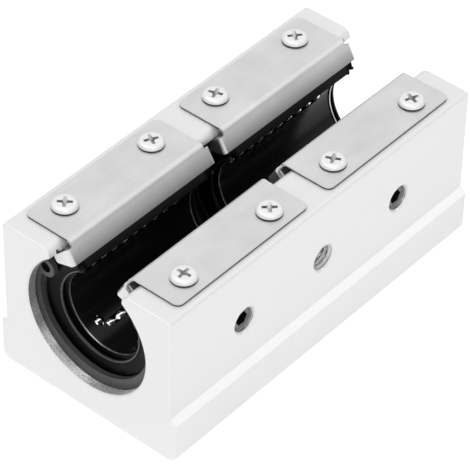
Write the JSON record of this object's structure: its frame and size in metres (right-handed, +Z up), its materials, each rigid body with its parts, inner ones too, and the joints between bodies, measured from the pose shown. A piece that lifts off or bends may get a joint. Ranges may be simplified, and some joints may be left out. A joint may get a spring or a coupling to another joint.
{
  "type": "linear bearing block",
  "caption": "Long open linear bearing block: a slotted aluminium housing with open ball bearings in one bore for a 20 mm supported shaft, threaded holes in its base and one side.",
  "frame": {"origin": "centre of the mounting face under the block, halfway along it", "axes": "+X along the shaft, towards the rear end; +Z up through the slot; the three holes are in the -Y side"},
  "size_m": [0.096, 0.048, 0.0399],
  "materials": {
    "housing_aluminium": "anodised, pale and matt, fine extrusion lines",
    "plate_steel": "rolled sheet, satin, faint lines along its length",
    "screw_steel": "bright plated",
    "set_screw_steel": "dark alloy steel",
    "spring_steel": "dark phosphated spring steel",
    "bearing_steel": "ground bearing steel",
    "ball_steel": "polished",
    "cage_resin": "black moulded resin, smooth",
    "seal_rubber": "black moulded rubber, satin"
  },
  "bodies": {
    "root": {"housing": "housing_aluminium", "front_bearing_sleeve": "bearing_steel", "rear_bearing_sleeve": "bearing_steel", "front_ball_cage": "cage_resin", "rear_ball_cage": "cage_resin", "front_outer_seal": "seal_rubber", "front_inner_seal": "seal_rubber", "rear_inner_seal": "seal_rubber", "rear_outer_seal": "seal_rubber", "front_left_upper_balls": "ball_steel", "front_left_lower_balls": "ball_steel", "front_right_upper_balls": "ball_steel", "front_right_lower_balls": "ball_steel", "rear_left_upper_balls": "ball_steel", "rear_left_lower_balls": "ball_steel", "rear_right_upper_balls": "ball_steel", "rear_right_lower_balls": "ball_steel", "front_circlip": "spring_steel", "rear_circlip": "spring_steel", "front_left_keeper_plate": "plate_steel", "front_right_keeper_plate": "plate_steel", "rear_left_keeper_plate": "plate_steel", "rear_right_keeper_plate": "plate_steel", "keeper_screws": "screw_steel", "set_screws": "set_screw_steel"}
  },
  "joints": []
}
